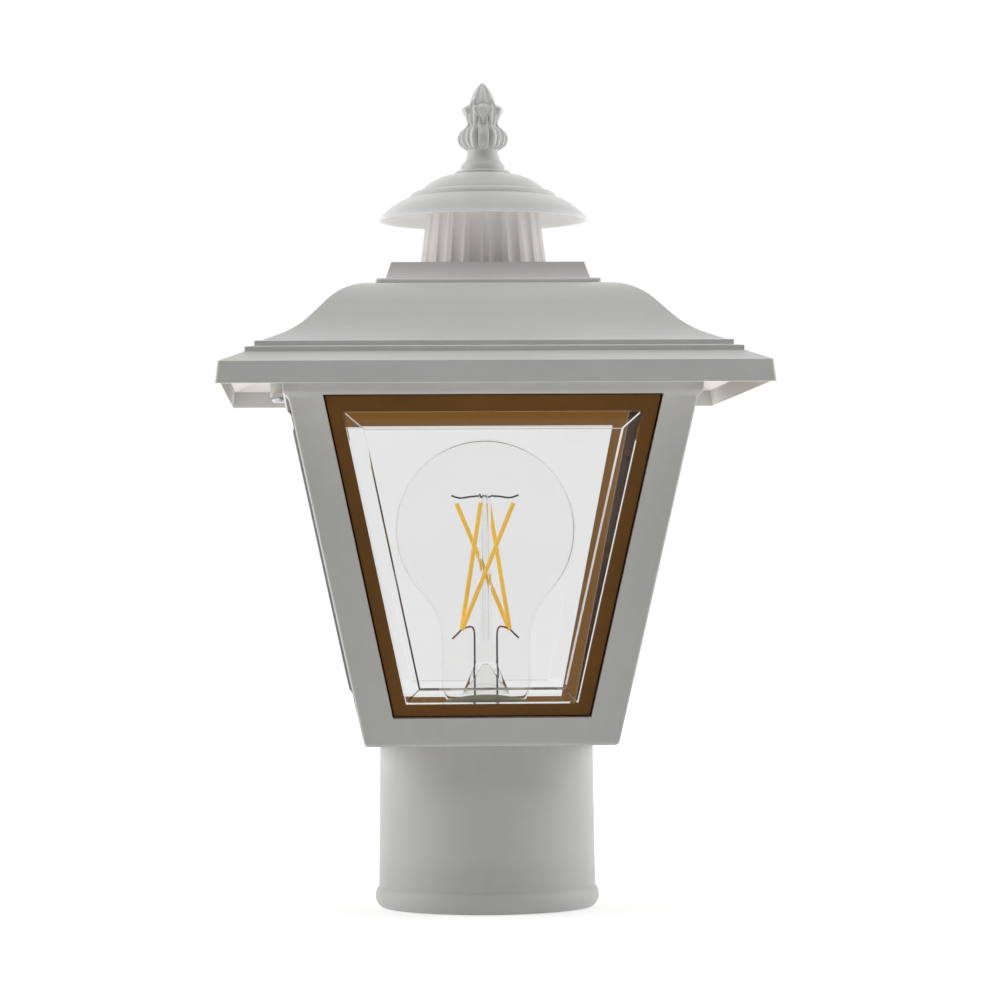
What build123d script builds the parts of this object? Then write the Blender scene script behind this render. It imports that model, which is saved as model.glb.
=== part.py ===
from build123d import *

import os
from math import asin, atan2, cos, degrees, radians, sin, tan

os.makedirs("parts", exist_ok=True)

# Post top lantern with an ogee roof, a fluted chimney and a leaf finial, on a fitter for a 3 inch post.
# Frame: +Z up, front towards -Y, origin at the centre of the fitter's bottom rim. All sizes in mm.

# ---------------------------------------------------------------- driving dimensions

# Post fitter
post_bore_r = 38.6          # bore for a post of 76.2 mm
post_depth = 44.0           # bottom rim to the stop that the post meets
fitter_wall = 2.2           # at its top
fitter_draft = 0.6          # degrees, wider towards the bottom
fitter_height = 63.0
fitter_plate = 2.5
bead_reach = 2.0            # bead outside the wall's top
bead_height = 8.0
lead_in = 0.8
stop_step = 1.2             # how far the wall steps in above the post
stop_rib_count = 8
stop_rib_thickness = 2.0
stop_rib_reach = 3.0
socket_hole_gap = 6.0       # plate's hole outside the lampholder

# Clamp screws in the back of the fitter
clamp_screw_z = 22.0
clamp_screw_r = 2.1
clamp_screw_length = 8.0
clamp_head_r = 4.0
clamp_head_height = 2.6
clamp_boss_r = 5.5
clamp_boss_reach = 6.0      # boss's face outside the bore
clamp_angles = (45, 135)    # degrees from +X, both behind the lantern

# Lantern cage
wall = 2.2
cage_floor = 2.5
lean = 12.0                 # degrees that each face leans outwards
cage_base_reach = 6.4       # cage's base outside the fitter
window_sill = 10.6          # cage's underside to the window's lower edge
window_over = 1.9           # window's upper edge above the end of the plain faces
corner_post = 12.72          # corner to the window's side edge
straight_height = 127.6     # height of the plain leaning faces
flare_rise = 3.3
rim_reach = 2.28            # rim outside the top of the plain faces
rim_height = 6.4
base_edge_r = 2.0
floor_edge_r = 1.0
corner_r = 1.0
ear_thickness = 1.8
ear_reach = 2.7             # roof screw's place outside the rim, along X and along Y
ear_r = 3.6

# Lens panels: a flange behind the wall, a flat border, a bevel and a raised pane
flange_overlap = 4.5
flange_thickness = 1.8
tray_gap = 0.7              # window edge to the panel's raised part
border_depth = 1.55          # border below the cage's face
border_width = 6.0
bevel_width = 5.8
pane_proud = 0.9
lens_thickness = 2.2
bevel_drop = 0.9            # the bevel sits this much low in the window
trim_thickness = 0.4
trim_gap = 0.1
trim_edge = 0.6             # bevelled outer edge of the trim
stake_r = 0.8
stake_head_r = 1.7
stake_head = 0.7

# Roof
roof_wall = 2.0
eave_reach = 23.6           # eaves outside the cage's rim
eave_drop = 4.9             # fascia's lower edge below the seat on the cage
fascia_height = 7.9
fascia_draft = 0.9
apron_in = 10.4             # inside the eaves, as are the next two
apron_rise = 3.9
step_rise = 1.7
step_in = 13.8
ogee_in = 16.6
ogee_foot = 6.4
hollow_r = 35.3
ogee_slope = 8.5
shoulder_r = 24.1
foot_angle = 22.7
slope_angle = 45.6
crown_angle = 3.0
crown_half = 42.0
roof_boss_r = 3.5
roof_boss_hole = 7.5

# Chimney
lip_height = 1.8
block_in = 3.8              # block inside the lip
block_height = 6.4
block_taper = 18.5
sleeve_in = 13.9            # sleeve inside the block's foot
sleeve_height = 26.2
sleeve_taper = 7.2
flute_count = 20
flute_r = 5.5
flute_depth = 0.9
flute_plinth = 1.2
chimney_wall = 2.0

# Hood
hood_r = 40.35
hood_drop = 7.4             # rim below the chimney's top
hood_height = 11.5          # hood's flat top above the chimney's top
hood_boss_r = 6.0

# Finial and the rod that clamps hood, chimney and roof together
finial_height = 33.8
foot_r = 8.65
rod_r = 2.0
rod_in_finial = 18.0
nut_across_flats = 7.0
nut_height = 3.2
washer_r = 5.5
washer_thickness = 0.8

# Lampholder and its bracket
bracket_gap = 3.8           # post stop to the bracket's web
strap_thickness = 1.2
strap_width = 16.0
strap_leg_in = 5.0          # leg inside the strap's screws
strap_foot = 8.5
socket_wall = 4.2
socket_rim_gap = 1.4        # rim below the lamp's collar
socket_floor = 4.0
shell_gap = 0.12            # between the brass shell and the bore
shell_thickness = 0.5
spring_height = 1.1
spring_sheet = 0.4

# Lamp: clear filament lamp with a 26 mm screw base
lamp_gap = 0.2              # lamp's contact above the lampholder's spring
lamp_base_r = 13.1
thread_start = 5.6
thread_pitch = 3.63
thread_turns = 4
thread_depth = 0.85
thread_clearance = 0.08
skirt_reach = 2.25          # collar outside the thread
lamp_skirt_z = 25.2         # top of the collar above the lamp's contact
skirt_height = 3.6
dome_rise = 1.8
skirt_lip = 1.35
neck_reach = 1.95           # neck outside the collar
neck_flare = 6.5
neck_length = 47.3          # top of the straight neck above the contact
globe_r = 34.7
lamp_length = 124.4
glass = 0.8
stem_flare_r = 9.0
stem_flare_height = 12.0
pinch_width = 7.6
pinch_thickness = 3.2
pinch_height = 7.0
stem_r = 2.25
stem_wall = 1.1
post_rise = 58.0            # glass post above the pinch
lead_x = 4.3
lead_r = 0.35
filament_r = 0.85
filament_circle = 11.0
filament_twist = -11.0      # degrees that the top ends are turned from the four sides
filament_foot_x = 9.3       # lower ends, two on each side
filament_foot_near = 1.4
filament_foot_far = 4.8

# Screws
clearance = 0.05            # radial room of a screw in its hole
screw_r = 1.5
screw_head_r = 3.0
screw_head = 2.0
plate_screw_gap = 6.0       # plate's screws outside its hole
socket_screw_x = 9.0
ground_screw_gap = 2.9      # outside the lampholder

# ---------------------------------------------------------------- sizes and heights that follow

lamp_skirt_r = lamp_base_r + skirt_reach
throat_r = lamp_skirt_r - skirt_lip
neck_r = lamp_skirt_r + neck_reach
socket_bore_r = lamp_base_r + thread_clearance + shell_thickness + shell_gap
socket_r = socket_bore_r + socket_wall
socket_hole_r = socket_r + socket_hole_gap
fitter_screw_circle = socket_hole_r + plate_screw_gap
bracket_screw_x = fitter_screw_circle
strap_leg_x = bracket_screw_x - strap_leg_in
ground_screw_x = socket_r + ground_screw_gap

fitter_top_r = post_bore_r + fitter_wall
bead_r = fitter_top_r + bead_reach
clamp_boss_end = post_bore_r + clamp_boss_reach
cage_base_half = fitter_top_r + cage_base_reach
rim_half = round(cage_base_half + straight_height * tan(radians(lean)) + rim_reach, 1)
eave_half = rim_half + eave_reach
apron_half = eave_half - apron_in
step_half = eave_half - step_in
ogee_half = eave_half - ogee_in
block_half = crown_half - block_in
sleeve_r = block_half - sleeve_in
window_rise = straight_height - window_sill + window_over

z_cage = fitter_height
z_floor = z_cage + cage_floor
z_sill = z_cage + window_sill
z_flare = z_cage + straight_height
z_rim = z_flare + flare_rise
z_seat = z_rim + rim_height
z_eave = z_seat - eave_drop
ear_centre = rim_half + ear_reach

z_web = post_depth + bracket_gap
z_socket = z_web + strap_thickness
z_cup = z_socket + socket_floor
z_lamp = z_cup + spring_height + lamp_gap
z_skirt_top = z_lamp + lamp_skirt_z
z_skirt = z_skirt_top - skirt_height
z_rim_socket = z_skirt - socket_rim_gap


def hand_over(piece, name):
    """Names a finished piece and writes it as its own file."""
    piece.label = name
    export_step(piece, f"parts/{name}.step")


def cage_half(z):
    """Half width of the cage's leaning faces at a height."""
    return cage_base_half + (z - z_cage) * tan(radians(lean))


def face_plane(side, depth=0.0):
    """Plane of one leaning face, with its origin at the window's lower edge, depth below the face."""
    turn = radians(90 * side)
    out = Vector(sin(turn), -cos(turn), 0)
    across = Vector(cos(turn), sin(turn), 0)
    normal = out * cos(radians(lean)) + Vector(0, 0, -sin(radians(lean)))
    origin = out * cage_half(z_sill) + Vector(0, 0, z_sill) - normal * depth
    return Plane(origin=origin, x_dir=across, z_dir=normal)


window_height = window_rise / cos(radians(lean))
window_low_half = cage_half(z_sill) - corner_post
window_high_half = cage_half(z_sill + window_rise) - corner_post
window_slant = (window_high_half - window_low_half) / window_height


def window_face(inset=0.0, drop=0.0):
    """Window's outline drawn in by an inset on all four sides, and moved down by a drop."""
    side_shift = inset * (1 + window_slant**2) ** 0.5
    low, high = inset, window_height - inset
    low_half = window_low_half + low * window_slant - side_shift
    high_half = window_low_half + high * window_slant - side_shift
    Polygon(
        (-low_half, low - drop),
        (low_half, low - drop),
        (high_half, high - drop),
        (-high_half, high - drop),
        align=None,
    )


def crossed(draw_half, reach):
    """Four-sided solid: a half outline mirrored, pushed along Y and along X, and met at the hips."""
    with BuildPart() as block:
        for plane, mode in ((Plane.XZ, Mode.ADD), (Plane.YZ, Mode.INTERSECT)):
            with BuildSketch(plane):
                with BuildLine():
                    draw_half()
                    mirror(about=Plane.YZ)
                make_face()
            extrude(amount=reach, both=True, mode=mode)
    return block.part


def pan_screw(shank_r, length, head_r=screw_head_r, head=screw_head):
    """Slotted pan head screw: head under Z = 0, shank standing on it."""
    with BuildPart() as screw:
        with BuildSketch(Plane.XZ):
            with BuildLine():
                Polyline((0, -head), (head_r * 0.6, -head))
                ThreePointArc((head_r * 0.6, -head), (head_r * 0.9, -head * 0.7), (head_r, -head * 0.15))
                Polyline((head_r, -head * 0.15), (head_r, 0), (shank_r, 0), (shank_r, length - shank_r / 2))
                Polyline((shank_r, length - shank_r / 2), (shank_r / 2, length), (0, length), (0, -head))
            make_face()
        revolve(axis=Axis.Z)
        with Locations((0, 0, -head)):
            Box(2.4 * head_r, head_r * 0.2, head * 0.7, mode=Mode.SUBTRACT)
    return screw.part


# ---------------------------------------------------------------- post fitter

def clamp_plane(angle):
    """Plane across a clamp screw's axis, with its origin on the post's axis."""
    return Plane(origin=(0, 0, clamp_screw_z), z_dir=(cos(radians(angle)), sin(radians(angle)), 0))


fitter_low_r = fitter_top_r + (fitter_height - bead_height) * tan(radians(fitter_draft))
stop_r = post_bore_r - stop_step
z_plate = fitter_height - fitter_plate

with BuildPart() as fitter:
    with BuildSketch(Plane.XZ):
        with BuildLine():
            Polyline((post_bore_r + lead_in, 0), (bead_r - 2.4, 0))
            ThreePointArc((bead_r - 2.4, 0), (bead_r, bead_height / 2), (fitter_low_r, bead_height))
            Polyline(
                (fitter_low_r, bead_height),
                (fitter_top_r, fitter_height),
                (socket_hole_r, fitter_height),
                (socket_hole_r, z_plate),
                (stop_r, z_plate),
                (stop_r, post_depth),
                (post_bore_r, post_depth),
                (post_bore_r, lead_in),
                (post_bore_r + lead_in, 0),
            )
        make_face()
    revolve(axis=Axis.Z)
    # Ribs under the plate, whose lower ends stop the post
    with PolarLocations(stop_r - stop_rib_reach / 2 + 0.2, stop_rib_count, start_angle=180 / stop_rib_count):
        with Locations((0, 0, (post_depth + z_plate) / 2)):
            Box(stop_rib_reach + 0.4, stop_rib_thickness, z_plate - post_depth)
    # Bosses and holes of the two clamp screws
    for angle in clamp_angles:
        boss_plane = clamp_plane(angle)
        with BuildSketch(boss_plane.offset(post_bore_r + 1)):
            Circle(clamp_boss_r)
        extrude(amount=clamp_boss_end - post_bore_r - 1)
        with BuildSketch(boss_plane.offset(post_bore_r - 2)):
            Circle(clamp_screw_r + clearance)
        extrude(amount=clamp_boss_end - post_bore_r + 3, mode=Mode.SUBTRACT)
    # Holes for the cage's screws and the bracket's screws
    with BuildSketch(Plane.XY.offset(z_plate)):
        with PolarLocations(fitter_screw_circle, 4, start_angle=45):
            Circle(screw_r + clearance)
        with Locations((bracket_screw_x, 0), (-bracket_screw_x, 0)):
            Circle(screw_r + clearance)
    extrude(amount=fitter_plate, mode=Mode.SUBTRACT)
hand_over(fitter.part, "post_fitter")

for angle, side in zip(clamp_angles, ("right", "left")):
    screw = pan_screw(clamp_screw_r, clamp_screw_length, clamp_head_r, clamp_head_height)
    under_head = clamp_plane(angle).offset(post_bore_r + clamp_screw_length + 0.3)
    with BuildPart() as clamp_screw:
        add(under_head.location * Rot(180, 0, 0) * screw)
    hand_over(clamp_screw.part, f"clamp_screw_{side}")

# ---------------------------------------------------------------- lantern cage

slant_wall = wall / cos(radians(lean))
flare_point = Vector(cage_half(z_flare), z_flare)
stake_line = window_low_half + flange_overlap / 2
stake_spots = [
    (side * (stake_line + rise * window_slant), rise)
    for side in (-1, 1)
    for rise in (0.15 * window_height, 0.5 * window_height, 0.85 * window_height)
]


def cage_outline(inset, z_low, edge_r):
    """Half outline of the cage: rounded lower edge, leaning face, small outward sweep and upright rim."""
    start = flare_point - Vector(inset, 0)
    end = Vector(rim_half - inset, z_rim)
    along = Vector(sin(radians(lean)), cos(radians(lean))) * (flare_rise / 2)
    base = cage_half(z_low) - inset - edge_r * tan(radians((90 - lean) / 2))
    Line((0, z_low), (base, z_low))
    edge = JernArc((base, z_low), (1, 0), edge_r, 90 - lean)
    Line(edge @ 1, start)
    Bezier(start, start + along, end - Vector(0, flare_rise / 2), end)
    Polyline(end, (rim_half - inset, z_seat), (0, z_seat))


cage_hollow = crossed(lambda: cage_outline(slant_wall, z_floor, floor_edge_r), 1.2 * rim_half)

with BuildPart() as cage:
    add(crossed(lambda: cage_outline(0, z_cage, base_edge_r), 1.2 * rim_half))
    hips = [e for e in cage.edges() if abs(abs(e.center().X) - abs(e.center().Y)) < 0.01]
    fillet(hips, radius=corner_r)
    add(cage_hollow, mode=Mode.SUBTRACT)
    # Windows
    for side in range(4):
        with BuildSketch(face_plane(side, 3 * wall)):
            window_face()
        extrude(amount=5 * wall, mode=Mode.SUBTRACT)
    # Ears outside the rim's corners, which carry the roof
    with BuildSketch(Plane.XY.offset(z_seat - ear_thickness)):
        for turn in range(4):
            with Locations(Rot(0, 0, 45 + 90 * turn)):
                with Locations((ear_centre * 2**0.5, 0)):
                    Circle(ear_r)
                with Locations(((ear_centre - 2.5) * 2**0.5, 0)):
                    Rectangle(5 * 2**0.5, 2 * ear_r)
        with GridLocations(2 * ear_centre, 2 * ear_centre, 2, 2):
            Circle(screw_r + clearance, mode=Mode.SUBTRACT)
    extrude(amount=ear_thickness)
    add(cage_hollow, mode=Mode.SUBTRACT)
    # Hole in the floor, and bosses for the fitter's and the bracket's screws
    with BuildSketch(Plane.XY.offset(z_cage)):
        Circle(socket_hole_r)
    extrude(amount=cage_floor, mode=Mode.SUBTRACT)
    with BuildSketch(Plane.XY.offset(z_floor)):
        with PolarLocations(fitter_screw_circle, 4, start_angle=45):
            Circle(3.5)
        with Locations((bracket_screw_x, 0), (-bracket_screw_x, 0)):
            Circle(3.5)
    extrude(amount=5)
    with BuildSketch(Plane.XY.offset(z_cage)):
        with PolarLocations(fitter_screw_circle, 4, start_angle=45):
            Circle(screw_r + clearance)
        with Locations((bracket_screw_x, 0), (-bracket_screw_x, 0)):
            Circle(screw_r + clearance)
    extrude(amount=cage_floor + 3.5, mode=Mode.SUBTRACT)
    # Stakes that hold the lens panels, headed over on the inside
    for side in range(4):
        with BuildSketch(face_plane(side, wall + flange_thickness + stake_head + clearance)):
            with Locations(*stake_spots):
                Circle(stake_head_r)
        extrude(amount=stake_head)
        with BuildSketch(face_plane(side, wall + flange_thickness + 2 * clearance)):
            with Locations(*stake_spots):
                Circle(stake_r)
        extrude(amount=flange_thickness + 0.3)
hand_over(cage.part, "lantern_cage")

with BuildPart() as fitter_screws:
    with PolarLocations(fitter_screw_circle, 4, start_angle=45):
        with Locations((0, 0, z_plate)):
            add(pan_screw(screw_r, fitter_plate + cage_floor + 2.5))
hand_over(fitter_screws.part, "fitter_screws")

# ---------------------------------------------------------------- lens panels and their trim

flange_face = wall + clearance
flange_back = flange_face + flange_thickness
bevel_edge = border_width + bevel_width

with BuildPart() as lens:
    with BuildSketch(face_plane(0, flange_back)):
        window_face(-flange_overlap)
        with Locations(*stake_spots):
            Circle(stake_r + 4 * clearance, mode=Mode.SUBTRACT)
    extrude(amount=flange_thickness)
    with BuildSketch(face_plane(0, flange_back)):
        window_face(tray_gap)
    extrude(amount=flange_back - border_depth)
    with BuildSketch(face_plane(0, border_depth)):
        window_face(border_width, bevel_drop)
    with BuildSketch(face_plane(0, -pane_proud)):
        window_face(bevel_edge, bevel_drop)
    loft(ruled=True)
    # Hollow back that follows border, bevel and pane
    hollow_inset = 0.6
    with BuildSketch(face_plane(0, flange_back)):
        window_face(border_width + hollow_inset, bevel_drop)
    extrude(amount=flange_back - border_depth - lens_thickness, mode=Mode.SUBTRACT)
    with BuildSketch(face_plane(0, border_depth + lens_thickness)):
        window_face(border_width + hollow_inset, bevel_drop)
    with BuildSketch(face_plane(0, lens_thickness - pane_proud)):
        window_face(bevel_edge + hollow_inset, bevel_drop)
    loft(ruled=True, mode=Mode.SUBTRACT)

with BuildPart() as trim:
    with BuildSketch(face_plane(0, wall)):
        window_face(trim_gap)
    extrude(amount=wall - border_depth + trim_thickness)
    outward = Axis((0, 0, 0), face_plane(0).z_dir)
    chamfer(trim.faces().sort_by(outward)[-1].edges(), length=trim_edge)
    with BuildSketch(face_plane(0, wall)):
        window_face(tray_gap - clearance)
    extrude(amount=wall - border_depth, mode=Mode.SUBTRACT)
    with BuildSketch(face_plane(0, wall)):
        window_face(border_width - 0.2, bevel_drop)
    extrude(amount=wall, mode=Mode.SUBTRACT)

for turn, side in enumerate(("front", "right", "back", "left")):
    hand_over(lens.part.rotate(Axis.Z, 90 * turn), f"lens_{side}")
    hand_over(trim.part.rotate(Axis.Z, 90 * turn), f"lens_trim_{side}")

# ---------------------------------------------------------------- roof


def roof_outline(inset):
    """Half outline of the roof: fascia, apron, two small steps and the ogee, drawn in by an inset."""
    z_fascia = z_eave + fascia_height
    z_apron = z_fascia + apron_rise
    z_step = z_apron + 2 * step_rise + 1.0
    foot = Vector(ogee_half, z_step) - Vector(sin(radians(foot_angle)), cos(radians(foot_angle))) * inset
    if inset:
        Polyline(
            (0, z_eave),
            (eave_half - inset, z_eave),
            (eave_half - fascia_draft - inset, z_fascia - inset * 0.8),
            (apron_half - inset * 0.8, z_apron - inset * 0.8),
            (apron_half - inset * 1.1, z_apron + step_rise - inset * 0.6),
            foot,
        )
    else:
        Polyline(
            (0, z_eave),
            (eave_half, z_eave),
            (eave_half - fascia_draft, z_fascia),
            (apron_half, z_apron),
            (apron_half, z_apron + step_rise),
            (step_half, z_apron + step_rise + 0.6),
            (step_half, z_step - 0.4),
            foot,
        )
    low = PolarLine(foot, ogee_foot, 180 - foot_angle)
    hollow = JernArc(low @ 1, low % 1, hollow_r + inset, foot_angle - slope_angle)
    slope = PolarLine(hollow @ 1, ogee_slope, 180 - slope_angle)
    shoulder = JernArc(slope @ 1, slope % 1, shoulder_r - inset, slope_angle - crown_angle)
    run = ((shoulder @ 1).X - crown_half) / cos(radians(crown_angle))
    crown = PolarLine(shoulder @ 1, run, 180 - crown_angle)
    Line(crown @ 1, (0, (crown @ 1).Y))


roof_hollow = crossed(lambda: roof_outline(roof_wall), 1.2 * eave_half)
z_ceiling = roof_hollow.bounding_box().max.Z

with BuildPart() as roof_room:
    add(roof_hollow)
    # Material left for the screw bosses
    with BuildSketch(Plane.XY.offset(z_seat)):
        with GridLocations(2 * ear_centre, 2 * ear_centre, 2, 2):
            Circle(roof_boss_r)
    extrude(amount=z_ceiling - z_seat, mode=Mode.SUBTRACT)

with BuildPart() as roof:
    add(crossed(lambda: roof_outline(0), 1.2 * eave_half))
    low_edges = [e for e in roof.edges() if e.center().Z < z_eave + fascia_height / 1.5]
    fascia_corners = [e for e in low_edges if min(abs(e.center().X), abs(e.center().Y)) > apron_half]
    fillet(fascia_corners, radius=corner_r)
    add(roof_room.part, mode=Mode.SUBTRACT)
    with BuildSketch(Plane.XY.offset(z_seat)):
        with GridLocations(2 * ear_centre, 2 * ear_centre, 2, 2):
            Circle(screw_r + clearance)
    extrude(amount=roof_boss_hole, mode=Mode.SUBTRACT)
    z_crown = roof.faces().sort_by(Axis.Z)[-1].center().Z
    with BuildSketch(Plane.XY.offset(z_ceiling - 1)):
        Circle(rod_r + 0.2)
    extrude(amount=z_crown - z_ceiling + 2, mode=Mode.SUBTRACT)
hand_over(roof.part, "roof_cover")

with BuildPart() as roof_screws:
    with GridLocations(2 * ear_centre, 2 * ear_centre, 2, 2):
        with Locations((0, 0, z_seat - ear_thickness)):
            add(pan_screw(screw_r, ear_thickness + roof_boss_hole - 0.5))
hand_over(roof_screws.part, "roof_screws")

# ---------------------------------------------------------------- chimney

z_block = z_crown + lip_height
z_sleeve = z_block + block_height
z_cap = z_sleeve + sleeve_height
sleeve_top_r = sleeve_r - sleeve_height * tan(radians(sleeve_taper))

with BuildPart() as chimney:
    with Locations((0, 0, z_crown + lip_height / 2)):
        Box(2 * crown_half, 2 * crown_half, lip_height)
    fillet(chimney.edges().filter_by(Axis.Z), radius=corner_r)
    fillet(chimney.faces().sort_by(Axis.Z)[-1].edges(), radius=lip_height * 0.45)
    fillet(chimney.faces().sort_by(Axis.Z)[0].edges(), radius=lip_height * 0.45)
    with BuildSketch(Plane.XY.offset(z_block)):
        Rectangle(2 * block_half, 2 * block_half)
    extrude(amount=block_height, taper=block_taper)
    with Locations((0, 0, z_sleeve + sleeve_height / 2)):
        Cone(sleeve_r, sleeve_top_r, sleeve_height)
    # Flutes all round, ridge to the front
    flute_centre = (sleeve_r + sleeve_top_r) / 2 + flute_r - flute_depth
    with PolarLocations(flute_centre, flute_count, start_angle=180 / flute_count - 90):
        with Locations(Location((0, 0, z_sleeve + flute_plinth + sleeve_height / 2), (0, -sleeve_taper, 0))):
            Cylinder(flute_r, sleeve_height, mode=Mode.SUBTRACT)
    # Hollow, open below
    with BuildSketch(Plane.XY.offset(z_crown)):
        Rectangle(2 * (block_half - chimney_wall), 2 * (block_half - chimney_wall))
    extrude(amount=lip_height + block_height - chimney_wall, taper=block_taper, mode=Mode.SUBTRACT)
    inner_height = sleeve_height - chimney_wall + 1
    with Locations((0, 0, z_sleeve - 1 + inner_height / 2)):
        Cone(
            sleeve_r - flute_depth - chimney_wall,
            sleeve_top_r - flute_depth - chimney_wall,
            inner_height,
            mode=Mode.SUBTRACT,
        )
    with Locations((0, 0, z_sleeve - chimney_wall)):
        Cylinder(sleeve_r - flute_depth - chimney_wall, 2 * chimney_wall, mode=Mode.SUBTRACT)
    with Locations((0, 0, z_cap)):
        Cylinder(rod_r + 0.2, 4 * chimney_wall, mode=Mode.SUBTRACT)
hand_over(chimney.part, "chimney")

# ---------------------------------------------------------------- hood

z_hood_top = z_cap + hood_height

with BuildPart() as hood:
    with BuildSketch(Plane.XZ):
        with BuildLine(Plane.XY.move(Location((0, z_cap, 0)))):
            Polyline((0, 0), (0, hood_height), (10.0, hood_height), (10.5, 11.1), (10.5, 10.3), (10.9, 10.2))
            ThreePointArc((10.9, 10.2), (17.5, 8.5), (23.7, 4.2))
            Polyline((23.7, 4.2), (24.0, 3.8), (25.9, 3.5))
            ThreePointArc((25.9, 3.5), (27.3, 2.7), (28.1, 1.4))
            Polyline((28.1, 1.4), (28.2, 1.1), (29.2, 0.9))
            ThreePointArc((29.2, 0.9), (35.8, -2.9), (hood_r, -hood_drop))
            Line((hood_r, -hood_drop), (hood_r - 1.3, -hood_drop - 0.2))
            ThreePointArc((hood_r - 1.3, -hood_drop - 0.2), (34.6, -3.7), (28.4, -0.3))
            ThreePointArc((28.4, -0.3), (19.0, 5.7), (9.0, 9.2))
            Polyline((9.0, 9.2), (hood_boss_r, 9.2), (hood_boss_r, 0), (0, 0))
        make_face()
    revolve(axis=Axis.Z)
    with Locations((0, 0, z_cap + hood_height / 2)):
        Cylinder(rod_r + 0.2, hood_height + 2, mode=Mode.SUBTRACT)
hand_over(hood.part, "hood")

# ---------------------------------------------------------------- finial


def leaf(side_points, half_widths, z_low):
    """One leaf: its outline seen from the side crossed with its outline seen from the front."""
    with BuildPart() as blade:
        with BuildSketch(Plane.XZ):
            with BuildLine():
                outer = Spline(*side_points)
                Polyline(outer @ 1, (2.0, (outer @ 1).Y), (2.0, z_low), outer @ 0)
            make_face()
        extrude(amount=4, both=True)
        with BuildSketch(Plane.YZ):
            with BuildLine():
                edge = Spline(*half_widths)
                Line(edge @ 1, (0, (edge @ 1).Y))
                Line((0, (edge @ 0).Y), edge @ 0)
                mirror(about=Plane.YZ)
            make_face()
        extrude(amount=12, mode=Mode.INTERSECT)
    return blade.part


with BuildPart() as finial:
    with BuildSketch(Plane.XZ):
        with BuildLine(Plane.XY.move(Location((0, z_hood_top, 0)))):
            Polyline((0, 0), (foot_r - 0.2, 0), (foot_r, 0.3), (foot_r - 0.35, 3.0), (7.3, 3.8))
            ThreePointArc((7.3, 3.8), (6.3, 5.6), (5.9, 7.8))
            ThreePointArc((5.9, 7.8), (7.4, 12.2), (5.3, 17.5))
            ThreePointArc((5.3, 17.5), (4.8, 20.8), (5.2, 25.3))
            bud = [(5.2, 25.3), (4.4, 28.3), (3.5, 30.1), (0.4, finial_height)]
            Spline(*bud, tangents=((0.05, 1), (-0.6, 1)))
            Polyline((0.4, finial_height), (0, finial_height), (0, 0))
        make_face()
    revolve(axis=Axis.Z)
    scroll_side = [(6.5, 8.2), (9.2, 9.9), (9.95, 12.0), (8.8, 14.8), (6.2, 18.6)]
    scroll_width = [(1.2, 8.0), (1.9, 11.5), (1.6, 15.5), (1.1, 18.8)]
    tip_side = [(5.2, 18.0), (6.1, 20.8), (8.1, 23.6), (7.4, 24.9), (5.0, 25.6)]
    tip_width = [(1.1, 17.6), (1.4, 20.6), (2.4, 23.6), (0.4, 25.8)]
    for count, side, width in ((8, scroll_side, scroll_width), (4, tip_side, tip_width)):
        side = [(r, z_hood_top + z) for r, z in side]
        width = [(half, z_hood_top + z) for half, z in width]
        with PolarLocations(0, count):
            add(leaf(side, width, side[0][1]))
    # Thread for the rod
    with Locations((0, 0, z_hood_top + rod_in_finial / 2)):
        Cylinder(rod_r + clearance, rod_in_finial, mode=Mode.SUBTRACT)
hand_over(finial.part, "finial")

z_washer = z_ceiling - washer_thickness
z_nut = z_washer - nut_height

with BuildPart() as rod:
    rod_low = z_nut - 2.5
    rod_high = z_hood_top + rod_in_finial - 0.5
    with Locations((0, 0, (rod_low + rod_high) / 2)):
        Cylinder(rod_r, rod_high - rod_low)
    chamfer(rod.edges(), length=0.4)
hand_over(rod.part, "finial_rod")

with BuildPart() as washer:
    with BuildSketch(Plane.XY.offset(z_washer)):
        Circle(washer_r)
        Circle(rod_r + 0.2, mode=Mode.SUBTRACT)
    extrude(amount=washer_thickness)
hand_over(washer.part, "rod_washer")

with BuildPart() as nut:
    with BuildSketch(Plane.XY.offset(z_nut)):
        RegularPolygon(nut_across_flats / 2, 6, major_radius=False)
        Circle(rod_r + clearance, mode=Mode.SUBTRACT)
    extrude(amount=nut_height)
hand_over(nut.part, "rod_nut")

# ---------------------------------------------------------------- lampholder and bracket

with BuildPart() as bracket:
    with BuildSketch(Plane.XZ):
        with BuildLine():
            Polyline(
                (0, z_web),
                (strap_leg_x, z_web),
                (strap_leg_x, z_plate - strap_thickness),
                (strap_leg_x + strap_foot, z_plate - strap_thickness),
                (strap_leg_x + strap_foot, z_plate),
                (strap_leg_x - strap_thickness, z_plate),
                (strap_leg_x - strap_thickness, z_socket),
                (0, z_socket),
            )
            mirror(about=Plane.YZ)
        make_face()
    extrude(amount=strap_width / 2, both=True)
    # Window for the post's wires, and the screw holes
    with Locations((0, 0, z_web + strap_thickness / 2)):
        Cylinder(5, strap_thickness + 1, mode=Mode.SUBTRACT)
    with Locations((socket_screw_x, 0, z_web), (-socket_screw_x, 0, z_web)):
        Cylinder(screw_r + clearance, 4 * strap_thickness, mode=Mode.SUBTRACT)
    with Locations((bracket_screw_x, 0, z_plate), (-bracket_screw_x, 0, z_plate)):
        Cylinder(screw_r + clearance, 4 * strap_thickness, mode=Mode.SUBTRACT)
    with Locations((ground_screw_x, 0, z_web)):
        Cylinder(screw_r + clearance, 4 * strap_thickness, mode=Mode.SUBTRACT)
hand_over(bracket.part, "socket_bracket")

with BuildPart() as bracket_screws:
    z_under_foot = z_plate - strap_thickness
    with Locations((bracket_screw_x, 0, z_under_foot), (-bracket_screw_x, 0, z_under_foot)):
        add(pan_screw(screw_r, strap_thickness + fitter_plate + cage_floor + 2.5))
hand_over(bracket_screws.part, "bracket_screws")

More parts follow.
